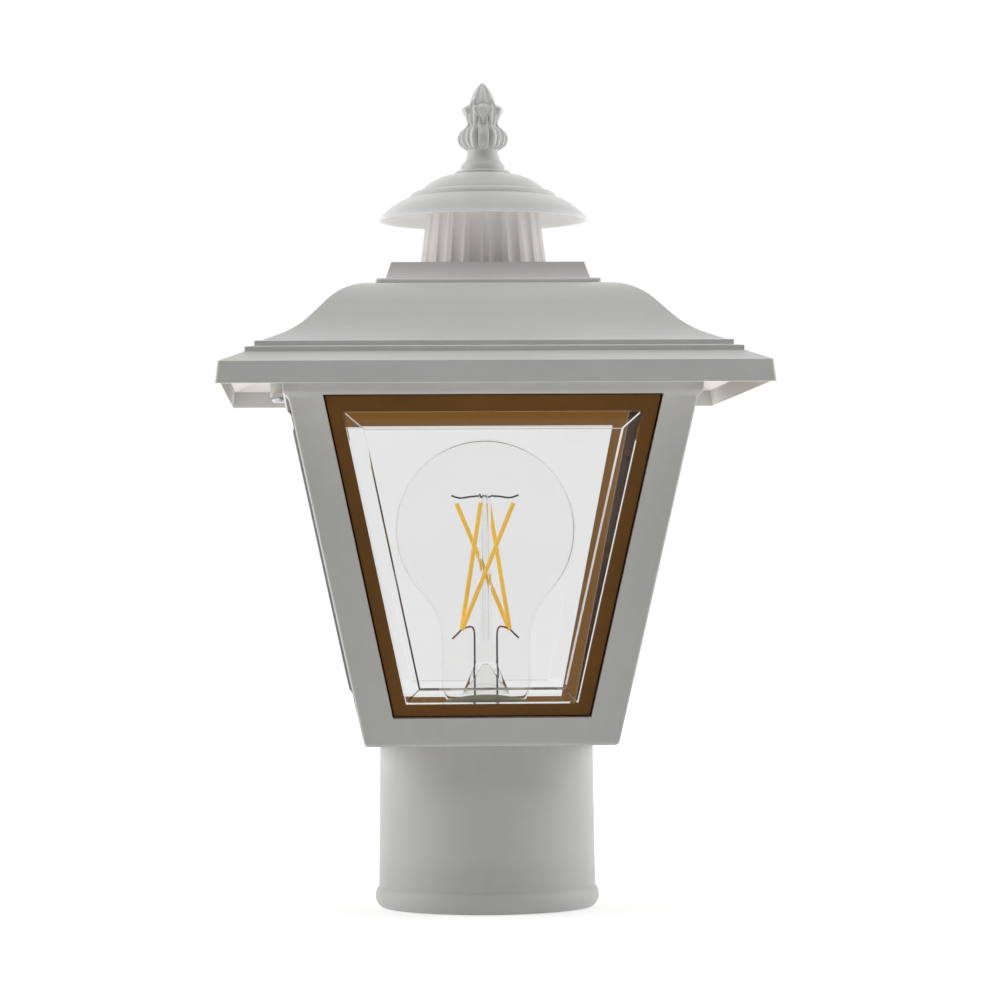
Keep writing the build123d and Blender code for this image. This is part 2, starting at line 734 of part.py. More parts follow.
with BuildPart() as ground_screw:
    add(Pos(ground_screw_x, 0, z_socket) * Rot(180, 0, 0) * pan_screw(screw_r, strap_thickness + 2.0, 2.3))
hand_over(ground_screw.part, "ground_screw")

thread_crest = lamp_base_r + thread_clearance

with BuildPart() as socket:
    with BuildSketch(Plane.XZ):
        with BuildLine():
            Polyline(
                (0, z_socket),
                (socket_r - 1.5, z_socket),
                (socket_r, z_socket + 1.5),
                (socket_r, z_rim_socket - 1),
                (socket_r - 1, z_rim_socket),
                (socket_bore_r + 0.6, z_rim_socket),
                (socket_bore_r, z_rim_socket - 0.6),
                (socket_bore_r, z_cup),
                (0, z_cup),
                close=True,
            )
        make_face()
    revolve(axis=Axis.Z)
    # Holes for its two screws and for the wires
    with Locations((socket_screw_x, 0, z_socket), (-socket_screw_x, 0, z_socket)):
        Cylinder(screw_r + clearance, 2 * socket_floor - 1, mode=Mode.SUBTRACT)
    with Locations((0, 9.5, z_socket), (0, -9.5, z_socket)):
        Cylinder(1.6, 3 * socket_floor, mode=Mode.SUBTRACT)
hand_over(socket.part, "socket_body")

with BuildPart() as socket_screws:
    with Locations((socket_screw_x, 0, z_web), (-socket_screw_x, 0, z_web)):
        add(pan_screw(screw_r, strap_thickness + socket_floor - 1))
hand_over(socket_screws.part, "socket_screws")


def thread_rings(crest, root, z_low):
    """Rounded screw thread seen in section, as points from a root at the bottom to a root at the top."""
    points = [(root, z_low)]
    for ring in range(thread_turns):
        z_ring = z_low + ring * thread_pitch
        points += [(crest, z_ring + 0.35 * thread_pitch), (crest, z_ring + 0.65 * thread_pitch)]
        points += [(root, z_ring + thread_pitch)]
    return points


z_thread = z_lamp + thread_start
thread_root = lamp_base_r - thread_depth

with BuildPart() as shell:
    inside = thread_rings(thread_crest, thread_root + thread_clearance, z_thread)
    outside = [(r + shell_thickness, z) for r, z in inside]
    with BuildSketch(Plane.XZ):
        with BuildLine():
            Polyline(*inside, *reversed(outside), close=True)
        make_face()
    revolve(axis=Axis.Z)
hand_over(shell.part, "socket_shell")

with BuildPart() as spring:
    with BuildSketch(Plane.XZ):
        with BuildLine():
            z_tongue = z_cup + clearance + spring_height - spring_sheet
            Polyline(
                (-6, z_cup + clearance),
                (3, z_cup + clearance),
                (3, z_cup + clearance + spring_sheet),
                (-4, z_cup + clearance + spring_sheet),
                (-3, z_tongue),
                (4, z_tongue),
                (4, z_tongue + spring_sheet),
                (-3.4, z_tongue + spring_sheet),
                (-6, z_cup + clearance + spring_sheet),
                close=True,
            )
        make_face()
    extrude(amount=2.5, both=True)
hand_over(spring.part, "socket_contact")

# ---------------------------------------------------------------- lamp

z_globe = z_lamp + lamp_length - globe_r
z_neck = z_lamp + neck_length
# Arc between neck and globe, touching both
blend_r = ((z_globe - z_neck) ** 2 + neck_r**2 - globe_r**2) / (2 * (globe_r - neck_r))
blend_turn = degrees(atan2(z_globe - z_neck, neck_r + blend_r))


def glass_outline(inset):
    """Outline of the glass bulb from its lower edge to its top, drawn in by an inset."""
    low = Vector(lamp_skirt_r - 0.1 - inset, z_skirt_top + clearance)
    start = Vector(neck_r - inset, z_skirt_top + neck_flare)
    Bezier(low, low + Vector(0.9, 1.8), start - Vector(0, 3), start)
    Line(start, (neck_r - inset, z_neck))
    blend = JernArc((neck_r - inset, z_neck), (0, 1), blend_r + inset, -blend_turn)
    ThreePointArc(blend @ 1, (globe_r - inset, z_globe), (0, z_globe + globe_r - inset))
    return low


with BuildPart() as bulb:
    with BuildSketch(Plane.XZ):
        with BuildLine():
            outer_low = glass_outline(0)
            inner_low = glass_outline(glass)
            Line(outer_low, inner_low)
            Line((0, z_globe + globe_r), (0, z_globe + globe_r - glass))
        make_face()
    revolve(axis=Axis.Z)
hand_over(bulb.part, "lamp_glass")

collar_recess = thread_root - 0.25

with BuildPart() as collar:
    with BuildSketch(Plane.XZ):
        with BuildLine():
            Polyline(
                (0, z_skirt_top + dome_rise),
                (0, z_skirt + 1.5),
                (collar_recess, z_skirt + 1.5),
                (collar_recess, z_skirt),
                (lamp_skirt_r - 0.5, z_skirt),
                (lamp_skirt_r, z_skirt + 0.5),
                (lamp_skirt_r, z_skirt_top),
                (throat_r, z_skirt_top),
            )
            dome_r = (throat_r**2 + dome_rise**2) / (2 * dome_rise)
            JernArc((0, z_skirt_top + dome_rise), (1, 0), dome_r, -degrees(asin(throat_r / dome_r)))
        make_face()
    revolve(axis=Axis.Z)
hand_over(collar.part, "lamp_collar")

with BuildPart() as lamp_shell:
    outside = thread_rings(lamp_base_r, thread_root, z_thread)
    inside = thread_rings(lamp_base_r - 0.4, thread_root - 0.4, z_thread)
    with BuildSketch(Plane.XZ):
        with BuildLine():
            top_out = Vector(thread_root, z_skirt - clearance)
            Polyline(*outside, top_out, top_out - Vector(0.4, 0), *reversed(inside), close=True)
        make_face()
    revolve(axis=Axis.Z)
hand_over(lamp_shell.part, "lamp_screw_base")

with BuildPart() as insulator:
    with Locations((0, 0, z_lamp + 1 + (thread_start - 1.1) / 2)):
        Cone(5.5, thread_root - 0.2, thread_start - 1.1)
hand_over(insulator.part, "lamp_insulator")

with BuildPart() as contact:
    with BuildSketch(Plane.XZ):
        with BuildLine():
            ThreePointArc((0, z_lamp), (3.2, z_lamp + 0.35), (4.5, z_lamp + 0.95))
            Polyline((4.5, z_lamp + 0.95), (0, z_lamp + 0.95), (0, z_lamp))
        make_face()
    revolve(axis=Axis.Z)
hand_over(contact.part, "lamp_contact")

z_flare_foot = z_skirt_top + dome_rise + 0.4
z_pinch = z_flare_foot + stem_flare_height
z_pinch_top = z_pinch + pinch_height
z_post_top = z_pinch_top + post_rise

with BuildPart() as stem:
    with BuildSketch(Plane.XZ):
        with BuildLine():
            Polyline(
                (0, z_pinch),
                (0, z_pinch - 1),
                (stem_r - 1, z_pinch - 1.5),
                (stem_flare_r - 1, z_flare_foot),
                (stem_flare_r, z_flare_foot),
                (pinch_width / 2, z_pinch),
                (0, z_pinch),
            )
        make_face()
    revolve(axis=Axis.Z)
    with Locations((0, 0, (z_pinch + z_pinch_top) / 2 - 0.5)):
        Box(pinch_width, pinch_thickness, pinch_height + 1)
    with Locations((0, 0, (z_pinch_top + z_post_top) / 2)):
        Cylinder(stem_r, z_post_top - z_pinch_top)
        Cylinder(stem_r - stem_wall, z_post_top - z_pinch_top - 2 * stem_wall, mode=Mode.SUBTRACT)
    fillet(stem.faces().sort_by(Axis.Z)[-1].edges(), radius=stem_wall)
    # Channels for the two lead wires
    with Locations((lead_x, 0, z_pinch), (-lead_x, 0, z_pinch)):
        Cylinder(lead_r + 0.15, 6 * pinch_height, mode=Mode.SUBTRACT)
hand_over(stem.part, "lamp_stem")


def wire(start, bends, radius):
    """Round wire: straight from its start to the first bend, then a smooth path through the others."""
    with BuildPart() as strand:
        with BuildLine() as path:
            straight = Line(start, bends[0])
            Spline(*bends, tangents=(straight % 1, bends[-1] - bends[-2]))
        with BuildSketch(Plane(origin=start, z_dir=straight % 0)):
            Circle(radius)
        sweep()
    return strand.part


with BuildPart() as leads:
    between = (filament_foot_near + filament_foot_far) / 2
    for side in (-1, 1):
        foot = Vector(side * lead_x, 0, z_skirt_top + dome_rise - 0.1)
        bends = [
            Vector(side * lead_x, 0, z_pinch_top + 2),
            Vector(side * (lead_x + 1.2), side * 0.3, z_pinch_top + 6.2),
            Vector(side * (filament_foot_x - 0.1), side * between, z_pinch_top + 5.2),
            Vector(side * (filament_foot_x + 3.6), side * (between + 1.8), z_pinch_top + 1.8),
        ]
        add(wire(foot, bends, lead_r))
    for turn in range(4):
        reach = Vector(1, 0, 0).rotate(Axis.Z, 90 * turn + filament_twist)
        bends = [reach * 5, reach * (filament_circle - 1), reach * (filament_circle + 2)]
        drops = (-1.9, -2.4, -1.5)
        bends = [bend + Vector(0, 0, z_post_top + drop) for bend, drop in zip(bends, drops)]
        add(wire(reach * (stem_r + 0.05) + Vector(0, 0, z_post_top - 1.7), bends, lead_r))
hand_over(leads.part, "lamp_wires")

# The rods lean across, so that one passes before the glass post and one behind it
near, far = filament_foot_near, filament_foot_far

with BuildPart() as filaments:
    for turn, (side, row) in enumerate(((-1, -far), (1, near), (1, far), (-1, -near))):
        high = Vector(filament_circle, 0, 0).rotate(Axis.Z, 90 * turn + filament_twist)
        high += Vector(0, 0, z_post_top - 4.6)
        low = Vector(side * filament_foot_x, row, z_pinch_top + 5)
        with BuildSketch(Plane(origin=low, z_dir=high - low)):
            Circle(filament_r)
        extrude(amount=(high - low).length)
hand_over(filaments.part, "lamp_filaments")
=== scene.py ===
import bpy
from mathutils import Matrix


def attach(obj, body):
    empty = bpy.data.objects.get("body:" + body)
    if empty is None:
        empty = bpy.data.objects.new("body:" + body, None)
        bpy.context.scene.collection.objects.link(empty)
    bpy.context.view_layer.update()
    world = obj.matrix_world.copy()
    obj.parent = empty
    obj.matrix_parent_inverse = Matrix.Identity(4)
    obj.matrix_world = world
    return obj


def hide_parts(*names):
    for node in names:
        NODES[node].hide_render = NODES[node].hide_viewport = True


bl_info = {
    "name": "Post Top Lantern",
    "version": (1, 0, 0),
    "blender": (4, 5, 0),
    "location": "View3D > Sidebar > Lantern",
    "description": "Finishes, carved finial, studio and camera for a post top lantern",
    "category": "Object",
}

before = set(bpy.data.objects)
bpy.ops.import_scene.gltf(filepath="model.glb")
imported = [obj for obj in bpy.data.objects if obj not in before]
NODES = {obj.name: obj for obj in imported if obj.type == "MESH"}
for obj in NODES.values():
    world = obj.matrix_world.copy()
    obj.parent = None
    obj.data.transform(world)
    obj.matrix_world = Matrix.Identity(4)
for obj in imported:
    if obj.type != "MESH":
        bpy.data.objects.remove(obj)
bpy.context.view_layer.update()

import math

import bmesh
import bpy
from mathutils import Vector

MM = 0.001


# ---------------------------------------------------------------- settings


class LanternFinish(bpy.types.PropertyGroup):
    """Colours and finishes of the lantern's own materials"""

    plastic: bpy.props.FloatVectorProperty(
        name="Plastic", description="Colour of the moulded housing", subtype="COLOR", size=3,
        default=(0.60, 0.60, 0.575), min=0, max=1)
    fitter: bpy.props.FloatVectorProperty(
        name="Fitter", description="Colour of the post fitter", subtype="COLOR", size=3,
        default=(0.64, 0.64, 0.615), min=0, max=1)
    chimney: bpy.props.FloatVectorProperty(
        name="Chimney", description="Colour of the chimney, a little warmer", subtype="COLOR", size=3,
        default=(0.79, 0.767, 0.75), min=0, max=1)
    hood: bpy.props.FloatVectorProperty(
        name="Hood", description="Colour of the hood, a little whiter", subtype="COLOR", size=3,
        default=(0.70, 0.70, 0.69), min=0, max=1)
    finial: bpy.props.FloatVectorProperty(
        name="Finial", description="Colour of the finial", subtype="COLOR", size=3,
        default=(0.74, 0.74, 0.725), min=0, max=1)
    plastic_roughness: bpy.props.FloatProperty(
        name="Plastic roughness", description="How matte the housing is", default=0.42, min=0, max=1)
    grain_size: bpy.props.FloatProperty(
        name="Grain size", description="Width of the grain in the moulded surface", default=0.9 * MM,
        unit="LENGTH", precision=5)
    trim: bpy.props.FloatVectorProperty(
        name="Trim", description="Colour of the bands round the panels", subtype="COLOR", size=3,
        default=(0.185, 0.078, 0.012), min=0, max=1)
    # Painted shade: the dark colour of the bands' bevelled edges, standing in for the shadow in the gap
    # round each panel; the cage's downward faces use it too.
    trim_edge_shade: bpy.props.FloatVectorProperty(
        name="Trim edge", description="Colour of the bands' dark outer edges", subtype="COLOR", size=3,
        default=(0.022, 0.010, 0.004), min=0, max=1)
    filament: bpy.props.FloatVectorProperty(
        name="Filament", description="Colour of the coating on the filament rods", subtype="COLOR", size=3,
        default=(0.90, 0.55, 0.07), min=0, max=1)


class LanternStage(bpy.types.PropertyGroup):
    """Camera, lamps and floor"""

    distance: bpy.props.FloatProperty(
        name="Distance", description="Camera's distance from the lantern's axis",
        default=1.418, unit="LENGTH")
    height: bpy.props.FloatProperty(
        name="Height", description="Camera's height above the fitter's rim", default=0.1277, unit="LENGTH")
    azimuth: bpy.props.FloatProperty(
        name="Azimuth", description="Camera's angle round the lantern",
        default=math.radians(-2.6), subtype="ANGLE")
    roll: bpy.props.FloatProperty(
        name="Roll", description="Camera's tilt about its line of sight",
        default=math.radians(-0.36), subtype="ANGLE")
    focal: bpy.props.FloatProperty(
        name="Focal length", description="Focal length in mm on a 36 mm sensor", default=133.2)
    shift: bpy.props.FloatVectorProperty(
        name="Shift", description="Picture's shift sideways and upwards, as a share of its width", size=2,
        default=(0.0147, 0.072))
    floor: bpy.props.FloatProperty(
        name="Floor", description="Width of the floor", default=6.0, unit="LENGTH")


# ---------------------------------------------------------------- node helpers


def add_node(tree, kind, values=(), **settings):
    """A new node, with settings on the node and values on its inputs by name or number."""
    node = tree.nodes.new(kind)
    for key, value in settings.items():
        setattr(node, key, value)
    for key, value in dict(values).items():
        node.inputs[key].default_value = value
    return node


def join(tree, *pairs):
    """Links each pair of output and input sockets."""
    for out_socket, in_socket in pairs:
        tree.links.new(out_socket, in_socket)


def map_range(tree, low, high, first, last):
    """A node that maps the range low to high to the range first to last."""
    return add_node(
        tree, "ShaderNodeMapRange", {"From Min": low, "From Max": high, "To Min": first, "To Max": last})


def new_group(name, inputs, outputs):
    """An empty shader node group with named sockets, given as name: (kind, default)."""
    group = bpy.data.node_groups.new(name, "ShaderNodeTree")
    for label, (kind, default) in inputs.items():
        socket = group.interface.new_socket(name=label, in_out="INPUT", socket_type=f"NodeSocket{kind}")
        socket.default_value = default
    for label, kind in outputs.items():
        group.interface.new_socket(name=label, in_out="OUTPUT", socket_type=f"NodeSocket{kind}")
    return group, group.nodes.new("NodeGroupInput"), group.nodes.new("NodeGroupOutput")


def rgba(colour):
    """A colour with full alpha."""
    return (*colour, 1.0)


def moulded_group():
    """Grain, faint mottling and flow marks of an injection moulded surface."""
    found = bpy.data.node_groups.get("Moulded surface")
    if found:
        return found
    group, start, end = new_group(
        "Moulded surface",
        {"Color": ("Color", (0.8, 0.8, 0.8, 1)), "Grain size": ("Float", 0.001), "Mottle": ("Float", 0.03),
         "Roughness": ("Float", 0.45)},
        {"Color": "Color", "Roughness": "Float", "Height": "Float"},
    )
    place = add_node(group, "ShaderNodeTexCoord")
    per_metre = add_node(group, "ShaderNodeMath", {0: 1.0}, operation="DIVIDE")
    grain = add_node(group, "ShaderNodeTexNoise", {"Detail": 3.0, "Roughness": 0.6})
    broad = add_node(group, "ShaderNodeTexNoise", {"Scale": 22.0, "Detail": 4.0, "Roughness": 0.55})
    shade = map_range(group, 0.3, 0.7, -1.0, 1.0)
    amount = add_node(group, "ShaderNodeMath", operation="MULTIPLY")
    level = add_node(group, "ShaderNodeMath", {0: 1.0}, operation="ADD")
    tint = add_node(group, "ShaderNodeVectorMath", operation="SCALE")
    gloss = map_range(group, 0.3, 0.7, -0.05, 0.05)
    rough = add_node(group, "ShaderNodeMath", operation="ADD")
    join(
        group,
        (place.outputs["Object"], grain.inputs["Vector"]),
        (place.outputs["Object"], broad.inputs["Vector"]),
        (start.outputs["Grain size"], per_metre.inputs[1]),
        (per_metre.outputs[0], grain.inputs["Scale"]),
        (broad.outputs["Fac"], shade.inputs["Value"]),
        (shade.outputs[0], amount.inputs[0]),
        (start.outputs["Mottle"], amount.inputs[1]),
        (amount.outputs[0], level.inputs[1]),
        (start.outputs["Color"], tint.inputs[0]),
        (level.outputs[0], tint.inputs["Scale"]),
        (grain.outputs["Fac"], gloss.inputs["Value"]),
        (gloss.outputs[0], rough.inputs[0]),
        (start.outputs["Roughness"], rough.inputs[1]),
        (tint.outputs[0], end.inputs["Color"]),
        (rough.outputs[0], end.inputs["Roughness"]),
        (grain.outputs["Fac"], end.inputs["Height"]),
    )
    return group


def edge_light_hollow_shade_group():
    """Mask of edges and hollows, used to paint highlight on the edges and shade in the hollows: 0 in the
    hollows, 0.5 on the flats and 1 on the edges.
    """
    found = bpy.data.node_groups.get("Edges and hollows")
    if found:
        return found
    group, start, end = new_group(
        "Edges and hollows",
        {"Spread": ("Float", 0.1), "Breakup": ("Float", 0.03)},
        {"Mask": "Float"},
    )
    shape = add_node(group, "ShaderNodeNewGeometry")
    place = add_node(group, "ShaderNodeTexCoord")
    noise = add_node(group, "ShaderNodeTexNoise", {"Scale": 260.0, "Detail": 3.0})
    centred = add_node(group, "ShaderNodeMath", {1: 0.5}, operation="SUBTRACT")
    ragged = add_node(group, "ShaderNodeMath", operation="MULTIPLY")
    both = add_node(group, "ShaderNodeMath", operation="ADD")
    low = add_node(group, "ShaderNodeMath", {0: 0.5}, operation="SUBTRACT")
    high = add_node(group, "ShaderNodeMath", {0: 0.5}, operation="ADD")
    spread = add_node(group, "ShaderNodeMapRange")
    join(
        group,
        (place.outputs["Object"], noise.inputs["Vector"]),
        (noise.outputs["Fac"], centred.inputs[0]),
        (centred.outputs[0], ragged.inputs[0]),
        (start.outputs["Breakup"], ragged.inputs[1]),
        (shape.outputs["Pointiness"], both.inputs[0]),
        (ragged.outputs[0], both.inputs[1]),
        (start.outputs["Spread"], low.inputs[1]),
        (start.outputs["Spread"], high.inputs[1]),
        (both.outputs[0], spread.inputs["Value"]),
        (low.outputs[0], spread.inputs["From Min"]),
        (high.outputs[0], spread.inputs["From Max"]),
        (spread.outputs[0], end.inputs["Mask"]),
    )
    return group


def slant_group():
    """Mask of the faces that slant away from the four sides: 0 on the flats and 1 on the bevels."""
    found = bpy.data.node_groups.get("Slanting faces")
    if found:
        return found
    group, start, end = new_group(
        "Slanting faces",
        {"Flat": ("Float", 0.95), "Bevel": ("Float", 0.88)},
        {"Mask": "Float"},
    )
    shape = add_node(group, "ShaderNodeNewGeometry")
    parts = add_node(group, "ShaderNodeSeparateXYZ")
    across = add_node(group, "ShaderNodeMath", operation="ABSOLUTE")
    along = add_node(group, "ShaderNodeMath", operation="ABSOLUTE")
    facing = add_node(group, "ShaderNodeMath", operation="MAXIMUM")
    mask = add_node(group, "ShaderNodeMapRange")
    join(
        group,
        (shape.outputs["True Normal"], parts.inputs[0]),
        (parts.outputs["X"], across.inputs[0]),
        (parts.outputs["Y"], along.inputs[0]),
        (across.outputs[0], facing.inputs[0]),
        (along.outputs[0], facing.inputs[1]),
        (facing.outputs[0], mask.inputs["Value"]),
        (start.outputs["Flat"], mask.inputs["From Min"]),
        (start.outputs["Bevel"], mask.inputs["From Max"]),
        (mask.outputs[0], end.inputs["Mask"]),
    )
    return group


def inward_group():
    """Mask of the faces that look towards the lantern's axis."""
    found = bpy.data.node_groups.get("Inward faces")
    if found:
        return found
    group, start, end = new_group("Inward faces", {"Softness": ("Float", 0.01)}, {"Mask": "Float"})
    shape = add_node(group, "ShaderNodeNewGeometry")
    level = add_node(group, "ShaderNodeVectorMath", {1: (1, 1, 0)}, operation="MULTIPLY")
    away = add_node(group, "ShaderNodeVectorMath", operation="DOT_PRODUCT")
    mask = map_range(group, 0.0, 1.0, 1.0, 0.0)
    less = add_node(group, "ShaderNodeMath", {0: 0.0}, operation="SUBTRACT")
    join(
        group,
        (shape.outputs["Position"], level.inputs[0]),
        (level.outputs[0], away.inputs[0]),
        (shape.outputs["True Normal"], away.inputs[1]),
        (away.outputs["Value"], mask.inputs["Value"]),
        (start.outputs["Softness"], less.inputs[1]),
        (less.outputs[0], mask.inputs["From Min"]),
        (start.outputs["Softness"], mask.inputs["From Max"]),
        (mask.outputs[0], end.inputs["Mask"]),
    )
    return group


def underside_group():
    """Mask of the faces that look down."""
    found = bpy.data.node_groups.get("Undersides")
    if found:
        return found
    group, start, end = new_group(
        "Undersides",
        {"Level": ("Float", -0.1), "Down": ("Float", -0.5)},
        {"Mask": "Float"},
    )
    shape = add_node(group, "ShaderNodeNewGeometry")
    parts = add_node(group, "ShaderNodeSeparateXYZ")
    mask = add_node(group, "ShaderNodeMapRange")
    join(
        group,
        (shape.outputs["True Normal"], parts.inputs[0]),
        (parts.outputs["Z"], mask.inputs["Value"]),
        (start.outputs["Level"], mask.inputs["From Min"]),
        (start.outputs["Down"], mask.inputs["From Max"]),
        (mask.outputs[0], end.inputs["Mask"]),
    )
    return group


def brushed_group():
    """Fine drawn lines and light tarnish of plated metal."""
    found = bpy.data.node_groups.get("Plated metal")
    if found:
        return found
    group, start, end = new_group(
        "Plated metal",
        {"Color": ("Color", (0.6, 0.6, 0.6, 1)), "Tarnish": ("Color", (0.3, 0.28, 0.25, 1)),
         "Roughness": ("Float", 0.3)},
        {"Color": "Color", "Roughness": "Float", "Height": "Float"},
    )
    place = add_node(group, "ShaderNodeTexCoord")
    stretch = add_node(group, "ShaderNodeMapping", {"Scale": (1.0, 1.0, 14.0)})
    lines = add_node(group, "ShaderNodeTexNoise", {"Scale": 420.0, "Detail": 3.0})
    spots = add_node(group, "ShaderNodeTexNoise", {"Scale": 160.0, "Detail": 5.0, "Roughness": 0.7})
    patch = map_range(group, 0.5, 0.75, 0.0, 0.6)
    colour = add_node(group, "ShaderNodeMix", data_type="RGBA")
    gloss = map_range(group, 0.0, 1.0, -0.06, 0.1)
    rough = add_node(group, "ShaderNodeMath", operation="ADD")
    join(
        group,
        (place.outputs["Object"], stretch.inputs["Vector"]),
        (stretch.outputs[0], lines.inputs["Vector"]),
        (place.outputs["Object"], spots.inputs["Vector"]),
        (spots.outputs["Fac"], patch.inputs["Value"]),
        (patch.outputs[0], colour.inputs["Factor"]),
        (start.outputs["Color"], colour.inputs["A"]),
        (start.outputs["Tarnish"], colour.inputs["B"]),
        (lines.outputs["Fac"], gloss.inputs["Value"]),
        (gloss.outputs[0], rough.inputs[0]),
        (start.outputs["Roughness"], rough.inputs[1]),
        (colour.outputs["Result"], end.inputs["Color"]),
        (rough.outputs[0], end.inputs["Roughness"]),
        (lines.outputs["Fac"], end.inputs["Height"]),
    )
    return group


def new_material(name):
    """A material with a bare Principled shader, its node tree and that shader."""
    material = bpy.data.materials.new(name)
    material.use_nodes = True
    tree = material.node_tree
    tree.nodes.clear()
    shader = add_node(tree, "ShaderNodeBsdfPrincipled")
    output = add_node(tree, "ShaderNodeOutputMaterial")
    join(tree, (shader.outputs[0], output.inputs["Surface"]))
    return material, tree, shader


def add_bump(tree, shader, height, distance):
    """Bump from a height, of a real depth."""
    bump = add_node(tree, "ShaderNodeBump", {"Strength": 1.0, "Distance": distance})
    join(tree, (height, bump.inputs["Height"]), (bump.outputs[0], shader.inputs["Normal"]))


def place_moulded(tree, colour, grain, mottle, roughness):
    """The group of a moulded surface with its values."""
    return add_node(
        tree, "ShaderNodeGroup",
        {"Color": rgba(colour), "Grain size": grain, "Mottle": mottle, "Roughness": roughness},
        node_tree=moulded_group())


def moulded(name, colour, roughness, grain, mottle=0.02, through=None):
    """Moulded plastic with a painted highlight on its edges and painted shade in its hollows. Where through
    is given, its downward faces also get a painted glow that stands in for light from below.
    """
    # Painted light: the first factor lightens the edges as a painted highlight, and the second darkens the
    # hollows as painted shade.
    edge, hollow_shade = 1.04, 0.82
    material, tree, shader = new_material(name)
    surface = place_moulded(tree, colour, grain, mottle, roughness)
    edge_light_hollow_shade = add_node(tree, "ShaderNodeGroup", node_tree=edge_light_hollow_shade_group())
    ramp = map_range(tree, 0.0, 1.0, hollow_shade, 2 * edge - hollow_shade)
    shade = add_node(tree, "ShaderNodeVectorMath", operation="SCALE")
    join(
        tree,
        (edge_light_hollow_shade.outputs["Mask"], ramp.inputs["Value"]),
        (surface.outputs["Color"], shade.inputs[0]),
        (ramp.outputs[0], shade.inputs["Scale"]),
        (shade.outputs[0], shader.inputs["Base Color"]),
        (surface.outputs["Roughness"], shader.inputs["Roughness"]),
    )
    shader.inputs["Specular IOR Level"].default_value = 0.3
    # Painted light: faces that look down glow in the colour through, standing in for light from below.
    if through:
        under = add_node(tree, "ShaderNodeGroup", node_tree=underside_group())
        glow = add_node(tree, "ShaderNodeVectorMath", {0: through}, operation="SCALE")
        shader.inputs["Emission Strength"].default_value = 1.0
        join(
            tree,
            (under.outputs["Mask"], glow.inputs["Scale"]),
            (glow.outputs[0], shader.inputs["Emission Color"]),
        )
    add_bump(tree, shader, surface.outputs["Height"], 0.02 * MM)
    return material


def plated(name, colour, tarnish, roughness):
    """Plated or bare metal with fine lines."""
    material, tree, shader = new_material(name)
    surface = add_node(
        tree, "ShaderNodeGroup",
        {"Color": rgba(colour), "Tarnish": rgba(tarnish), "Roughness": roughness},
        node_tree=brushed_group())
    shader.inputs["Metallic"].default_value = 1.0
    join(
        tree,
        (surface.outputs["Color"], shader.inputs["Base Color"]),
        (surface.outputs["Roughness"], shader.inputs["Roughness"]),
    )
    add_bump(tree, shader, surface.outputs["Height"], 0.01 * MM)
    return material


def clear(name, colour, ior, ripple_scale, coat=0.0):
    """Clear glass or acrylic with a faint ripple, which casts a pale shadow instead of a dark one."""
    material, tree, shader = new_material(name)
    shine = 0.4
    shader.inputs["Base Color"].default_value = rgba(colour)
    shader.inputs["Roughness"].default_value = 0.0
    shader.inputs["IOR"].default_value = ior
    shader.inputs["Coat Weight"].default_value = coat
    shader.inputs["Specular Tint"].default_value = (shine, shine, shine, 1)
    shader.inputs["Transmission Weight"].default_value = 1.0
    place = add_node(tree, "ShaderNodeTexCoord")
    noise = add_node(tree, "ShaderNodeTexNoise", {"Scale": ripple_scale, "Detail": 1.0})
    rays = add_node(tree, "ShaderNodeLightPath")
    through = add_node(tree, "ShaderNodeBsdfTransparent", {"Color": rgba(colour)})
    mix = add_node(tree, "ShaderNodeMixShader")
    output = tree.nodes["Material Output"]
    join(
        tree,
        (place.outputs["Object"], noise.inputs["Vector"]),
        (rays.outputs["Is Shadow Ray"], mix.inputs["Fac"]),
        (shader.outputs[0], mix.inputs[1]),
        (through.outputs[0], mix.inputs[2]),
        (mix.outputs[0], output.inputs["Surface"]),
    )
    add_bump(tree, shader, noise.outputs["Fac"], 0.004 * MM)
    return material


def white_rays(tree):
    """Socket that is 1 for the rays to which floor and backdrop look white."""
    rays = add_node(tree, "ShaderNodeLightPath")
    seen = add_node(tree, "ShaderNodeMath", operation="MAXIMUM")
    every = add_node(tree, "ShaderNodeMath", operation="MAXIMUM")
    join(
        tree,
        (rays.outputs["Is Camera Ray"], seen.inputs[0]),
        (rays.outputs["Is Transmission Ray"], seen.inputs[1]),
        (seen.outputs[0], every.inputs[0]),
        (rays.outputs["Is Glossy Ray"], every.inputs[1]),
    )
    return every.outputs[0]


def curve_at(points, place):
    """Smooth curve through (place, value) points that never overshoots them."""
    if place <= points[0][0]:
        return points[0][1]
    if place >= points[-1][0]:
        return points[-1][1]
    slopes = [(b[1] - a[1]) / (b[0] - a[0]) for a, b in zip(points, points[1:])]
    bends = [slopes[0]]
    for before, after in zip(slopes, slopes[1:]):
        bends.append(2 * before * after / (before + after) if before * after > 0 else 0.0)
    bends.append(slopes[-1])
    k = max(i for i, point in enumerate(points) if point[0] <= place)
    (x0, y0), (x1, y1) = points[k], points[k + 1]
    span = x1 - x0
    t = (place - x0) / span
    return (
        y0 * (1 + 2 * t) * (1 - t) ** 2 + span * bends[k] * t * (1 - t) ** 2
        + y1 * t * t * (3 - 2 * t) + span * bends[k + 1] * t * t * (t - 1)
    )


def mound(place, half):
    """Round hump, 1 at 0 and 0 from half on."""
    return max(0.0, 1 - (place / half) ** 2)


def peak(place, half):
    """Sharp hump, 1 at 0 and 0 from half on."""
    return max(0.0, 1 - abs(place) / half)


def dress(material, *names):
    """Puts a material on CAD nodes, in place of their own."""
    for name in names:
        mesh = NODES[name].data
        mesh.materials.clear()
        mesh.materials.append(material)


# ---------------------------------------------------------------- operators


